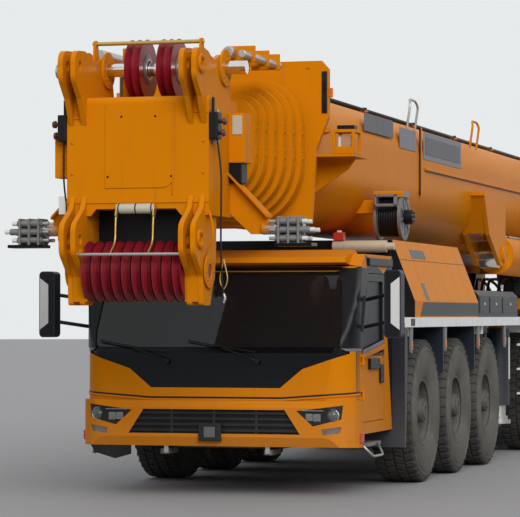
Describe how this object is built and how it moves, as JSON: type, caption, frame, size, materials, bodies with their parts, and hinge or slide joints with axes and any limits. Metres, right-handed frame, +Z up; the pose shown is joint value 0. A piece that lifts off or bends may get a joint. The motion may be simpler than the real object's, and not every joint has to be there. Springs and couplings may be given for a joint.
{
  "type": "mobile crane",
  "caption": "Multi-axle mobile crane with a telescopic boom stowed over its low driver's cab, sheave head, lift cylinders and beam outriggers.",
  "frame": {"origin": "on the ground, midway between the foremost head lugs and the tail, on the vehicle's centre line", "axes": "+Z up, the front faces -Y, the vehicle's left side is +X"},
  "size_m": [3.6, 20.59, 4.1678],
  "materials": {
    "orange_paint": "gloss",
    "frame_paint": "satin",
    "black_plastic": "matte",
    "glass": "gloss",
    "tyre": "matte",
    "deck_alloy": "satin",
    "lamp": "gloss",
    "bare_steel": "satin",
    "chrome_rod": "polished",
    "sheave_red": "satin",
    "grey_trim": "satin",
    "interior": "matte"
  },
  "bodies": {
    "carrier": {"chassis_frame": "frame_paint", "axle_beams": "frame_paint", "carrier_cab": "orange_paint", "cab_glass": "glass", "cab_interior": "interior", "front_bumper": "orange_paint", "lamps": "lamp", "mirrors": "black_plastic", "engine_cover": "orange_paint", "engine": "bare_steel", "air_cleaner": "bare_steel", "deck": "deck_alloy", "mudguards": "grey_trim"},
    "superstructure": {"turntable": "orange_paint", "operator_cab": "orange_paint"},
    "winch": {"winch_drum": "bare_steel"},
    "boom_1": {"boom_base": "orange_paint"},
    "boom_2": {"boom_section_2": "orange_paint"},
    "boom_3": {"boom_section_3": "orange_paint"},
    "boom_4": {"boom_section_4": "orange_paint"},
    "boom_5": {"boom_section_5": "orange_paint"},
    "boom_6": {"boom_section_6": "orange_paint"},
    "boom_7": {"boom_section_7": "orange_paint"},
    "boom_8": {"boom_head": "orange_paint"},
    "top_sheaves": {"upper_sheaves": "sheave_red"},
    "hook_sheaves": {"lower_sheaves": "sheave_red"},
    "lift_barrel": {"lift_cylinder": "orange_paint"},
    "lift_rod": {"lift_rod": "chrome_rod"},
    "wheel_1_left": {"wheel_1_left": "tyre"},
    "knuckle_1_left": {"knuckle_1_left": "frame_paint"},
    "wheel_1_right": {"wheel_1_right": "tyre"},
    "knuckle_1_right": {"knuckle_1_right": "frame_paint"},
    "wheel_2_left": {"wheel_2_left": "tyre"},
    "knuckle_2_left": {"knuckle_2_left": "frame_paint"},
    "wheel_2_right": {"wheel_2_right": "tyre"},
    "knuckle_2_right": {"knuckle_2_right": "frame_paint"},
    "wheel_3_left": {"wheel_3_left": "tyre"},
    "knuckle_3_left": {"knuckle_3_left": "frame_paint"},
    "wheel_3_right": {"wheel_3_right": "tyre"},
    "knuckle_3_right": {"knuckle_3_right": "frame_paint"},
    "wheel_4_left": {"wheel_4_left": "tyre"},
    "wheel_4_right": {"wheel_4_right": "tyre"},
    "wheel_5_left": {"wheel_5_left": "tyre"},
    "wheel_5_right": {"wheel_5_right": "tyre"},
    "wheel_6_left": {"wheel_6_left": "tyre"},
    "wheel_6_right": {"wheel_6_right": "tyre"},
    "wheel_7_left": {"wheel_7_left": "tyre"},
    "wheel_7_right": {"wheel_7_right": "tyre"},
    "wheel_8_left": {"wheel_8_left": "tyre"},
    "wheel_8_right": {"wheel_8_right": "tyre"},
    "door_left": {"door_left": "orange_paint"},
    "door_right": {"door_right": "orange_paint"},
    "outrigger_beam_front_left": {"outrigger_beam_front_left": "orange_paint"},
    "outrigger_jack_front_left": {"outrigger_jack_front_left": "bare_steel"},
    "outrigger_beam_front_right": {"outrigger_beam_front_right": "orange_paint"},
    "outrigger_jack_front_right": {"outrigger_jack_front_right": "bare_steel"},
    "outrigger_beam_rear_left": {"outrigger_beam_rear_left": "orange_paint"},
    "outrigger_jack_rear_left": {"outrigger_jack_rear_left": "bare_steel"},
    "outrigger_beam_rear_right": {"outrigger_beam_rear_right": "orange_paint"},
    "outrigger_jack_rear_right": {"outrigger_jack_rear_right": "bare_steel"}
  },
  "joints": [
    {"name": "slew", "type": "hinge", "parent": "carrier", "child": "superstructure", "pos_m": [0, 6.45, 1.72], "axis": [0, 0, 1], "continuous": true},
    {"name": "luff", "type": "hinge", "parent": "superstructure", "child": "boom_1", "pos_m": [0, 8.85, 3.3], "axis": [-1, 0, 0], "range_deg": [0, 84]},
    {"name": "telescope_2", "type": "slide", "parent": "boom_1", "child": "boom_2", "axis": [0, -1, 0], "range_m": [0, 12.6]},
    {"name": "telescope_3", "type": "slide", "parent": "boom_2", "child": "boom_3", "axis": [0, -1, 0], "range_m": [0, 12.6]},
    {"name": "telescope_4", "type": "slide", "parent": "boom_3", "child": "boom_4", "axis": [0, -1, 0], "range_m": [0, 12.6]},
    {"name": "telescope_5", "type": "slide", "parent": "boom_4", "child": "boom_5", "axis": [0, -1, 0], "range_m": [0, 12.6]},
    {"name": "telescope_6", "type": "slide", "parent": "boom_5", "child": "boom_6", "axis": [0, -1, 0], "range_m": [0, 12.6]},
    {"name": "telescope_7", "type": "slide", "parent": "boom_6", "child": "boom_7", "axis": [0, -1, 0], "range_m": [0, 12.6]},
    {"name": "telescope_8", "type": "slide", "parent": "boom_7", "child": "boom_8", "axis": [0, -1, 0], "range_m": [0, 12.6]},
    {"name": "top_sheaves_turn", "type": "hinge", "parent": "boom_8", "child": "top_sheaves", "pos_m": [0, -9.45, 3.9], "axis": [1, 0, 0], "continuous": true},
    {"name": "low_sheaves_turn", "type": "hinge", "parent": "boom_8", "child": "hook_sheaves", "pos_m": [0, -9.92, 2.095], "axis": [1, 0, 0], "continuous": true},
    {"name": "winch_turn", "type": "hinge", "parent": "superstructure", "child": "winch", "pos_m": [0, 9.71, 2.45], "axis": [1, 0, 0], "continuous": true},
    {"name": "lift_foot", "type": "hinge", "parent": "superstructure", "child": "lift_barrel", "pos_m": [0, 6.15, 2.47], "axis": [-1, 0, 0], "range_deg": [0, 98.39]},
    {"name": "lift_stroke", "type": "slide", "parent": "lift_barrel", "child": "lift_rod", "axis": [0, -1, 0.0071], "range_m": [0, 3.5003]},
    {"name": "steer_1_left", "type": "hinge", "parent": "carrier", "child": "knuckle_1_left", "pos_m": [1.15, -5.05, 0.735], "axis": [0, 0, 1], "range_deg": [-30, 30]},
    {"name": "wheel_1_left_turn", "type": "hinge", "parent": "knuckle_1_left", "child": "wheel_1_left", "pos_m": [1.2675, -5.05, 0.735], "axis": [1, 0, 0], "continuous": true},
    {"name": "steer_1_right", "type": "hinge", "parent": "carrier", "child": "knuckle_1_right", "pos_m": [-1.15, -5.05, 0.735], "axis": [0, 0, 1], "range_deg": [-30, 30]},
    {"name": "wheel_1_right_turn", "type": "hinge", "parent": "knuckle_1_right", "child": "wheel_1_right", "pos_m": [-1.2675, -5.05, 0.735], "axis": [1, 0, 0], "continuous": true},
    {"name": "steer_2_left", "type": "hinge", "parent": "carrier", "child": "knuckle_2_left", "pos_m": [1.15, -3.38, 0.735], "axis": [0, 0, 1], "range_deg": [-24.6, 24.6]},
    {"name": "wheel_2_left_turn", "type": "hinge", "parent": "knuckle_2_left", "child": "wheel_2_left", "pos_m": [1.2675, -3.38, 0.735], "axis": [1, 0, 0], "continuous": true},
    {"name": "steer_2_right", "type": "hinge", "parent": "carrier", "child": "knuckle_2_right", "pos_m": [-1.15, -3.38, 0.735], "axis": [0, 0, 1], "range_deg": [-24.6, 24.6]},
    {"name": "wheel_2_right_turn", "type": "hinge", "parent": "knuckle_2_right", "child": "wheel_2_right", "pos_m": [-1.2675, -3.38, 0.735], "axis": [1, 0, 0], "continuous": true},
    {"name": "steer_3_left", "type": "hinge", "parent": "carrier", "child": "knuckle_3_left", "pos_m": [1.15, -1.71, 0.735], "axis": [0, 0, 1], "range_deg": [-19.8, 19.8]},
    {"name": "wheel_3_left_turn", "type": "hinge", "parent": "knuckle_3_left", "child": "wheel_3_left", "pos_m": [1.2675, -1.71, 0.735], "axis": [1, 0, 0], "continuous": true},
    {"name": "steer_3_right", "type": "hinge", "parent": "carrier", "child": "knuckle_3_right", "pos_m": [-1.15, -1.71, 0.735], "axis": [0, 0, 1], "range_deg": [-19.8, 19.8]},
    {"name": "wheel_3_right_turn", "type": "hinge", "parent": "knuckle_3_right", "child": "wheel_3_right", "pos_m": [-1.2675, -1.71, 0.735], "axis": [1, 0, 0], "continuous": true},
    {"name": "wheel_4_left_turn", "type": "hinge", "parent": "carrier", "child": "wheel_4_left", "pos_m": [1.2675, 1.85, 0.735], "axis": [1, 0, 0], "continuous": true},
    {"name": "wheel_4_right_turn", "type": "hinge", "parent": "carrier", "child": "wheel_4_right", "pos_m": [-1.2675, 1.85, 0.735], "axis": [1, 0, 0], "continuous": true},
    {"name": "wheel_5_left_turn", "type": "hinge", "parent": "carrier", "child": "wheel_5_left", "pos_m": [1.2675, 3.52, 0.735], "axis": [1, 0, 0], "continuous": true},
    {"name": "wheel_5_right_turn", "type": "hinge", "parent": "carrier", "child": "wheel_5_right", "pos_m": [-1.2675, 3.52, 0.735], "axis": [1, 0, 0], "continuous": true},
    {"name": "wheel_6_left_turn", "type": "hinge", "parent": "carrier", "child": "wheel_6_left", "pos_m": [1.2675, 5.19, 0.735], "axis": [1, 0, 0], "continuous": true},
    {"name": "wheel_6_right_turn", "type": "hinge", "parent": "carrier", "child": "wheel_6_right", "pos_m": [-1.2675, 5.19, 0.735], "axis": [1, 0, 0], "continuous": true},
    {"name": "wheel_7_left_turn", "type": "hinge", "parent": "carrier", "child": "wheel_7_left", "pos_m": [1.2675, 6.86, 0.735], "axis": [1, 0, 0], "continuous": true},
    {"name": "wheel_7_right_turn", "type": "hinge", "parent": "carrier", "child": "wheel_7_right", "pos_m": [-1.2675, 6.86, 0.735], "axis": [1, 0, 0], "continuous": true},
    {"name": "wheel_8_left_turn", "type": "hinge", "parent": "carrier", "child": "wheel_8_left", "pos_m": [1.2675, 8.53, 0.735], "axis": [1, 0, 0], "continuous": true},
    {"name": "wheel_8_right_turn", "type": "hinge", "parent": "carrier", "child": "wheel_8_right", "pos_m": [-1.2675, 8.53, 0.735], "axis": [1, 0, 0], "continuous": true},
    {"name": "door_left_swing", "type": "hinge", "parent": "carrier", "child": "door_left", "pos_m": [1.366, -7.317, 1.125], "axis": [0, 0, -1], "range_deg": [0, 70]},
    {"name": "door_right_swing", "type": "hinge", "parent": "carrier", "child": "door_right", "pos_m": [-1.366, -7.317, 1.125], "axis": [0, 0, 1], "range_deg": [0, 70]},
    {"name": "outrigger_front_left_slide", "type": "slide", "parent": "carrier", "child": "outrigger_beam_front_left", "axis": [1, 0, 0], "range_m": [0, 2.1]},
    {"name": "jack_front_left_slide", "type": "slide", "parent": "outrigger_beam_front_left", "child": "outrigger_jack_front_left", "axis": [0, 0, -1], "range_m": [0, 0.6]},
    {"name": "outrigger_front_right_slide", "type": "slide", "parent": "carrier", "child": "outrigger_beam_front_right", "axis": [-1, 0, 0], "range_m": [0, 2.1]},
    {"name": "jack_front_right_slide", "type": "slide", "parent": "outrigger_beam_front_right", "child": "outrigger_jack_front_right", "axis": [0, 0, -1], "range_m": [0, 0.6]},
    {"name": "outrigger_rear_left_slide", "type": "slide", "parent": "carrier", "child": "outrigger_beam_rear_left", "axis": [1, 0, 0], "range_m": [0, 2.1]},
    {"name": "jack_rear_left_slide", "type": "slide", "parent": "outrigger_beam_rear_left", "child": "outrigger_jack_rear_left", "axis": [0, 0, -1], "range_m": [0, 0.6]},
    {"name": "outrigger_rear_right_slide", "type": "slide", "parent": "carrier", "child": "outrigger_beam_rear_right", "axis": [-1, 0, 0], "range_m": [0, 2.1]},
    {"name": "jack_rear_right_slide", "type": "slide", "parent": "outrigger_beam_rear_right", "child": "outrigger_jack_rear_right", "axis": [0, 0, -1], "range_m": [0, 0.6]}
  ],
  "couplings": [
    {"joint": "lift_foot", "follows": "luff", "ratio": 1.1707},
    {"joint": "lift_stroke", "follows": "luff", "m_per_rad": 2.3861},
    {"joint": "steer_1_right", "follows": "steer_1_left", "ratio": 1},
    {"joint": "steer_2_left", "follows": "steer_1_left", "ratio": 0.82},
    {"joint": "steer_2_right", "follows": "steer_1_left", "ratio": 0.82},
    {"joint": "steer_3_left", "follows": "steer_1_left", "ratio": 0.66},
    {"joint": "steer_3_right", "follows": "steer_1_left", "ratio": 0.66}
  ]
}
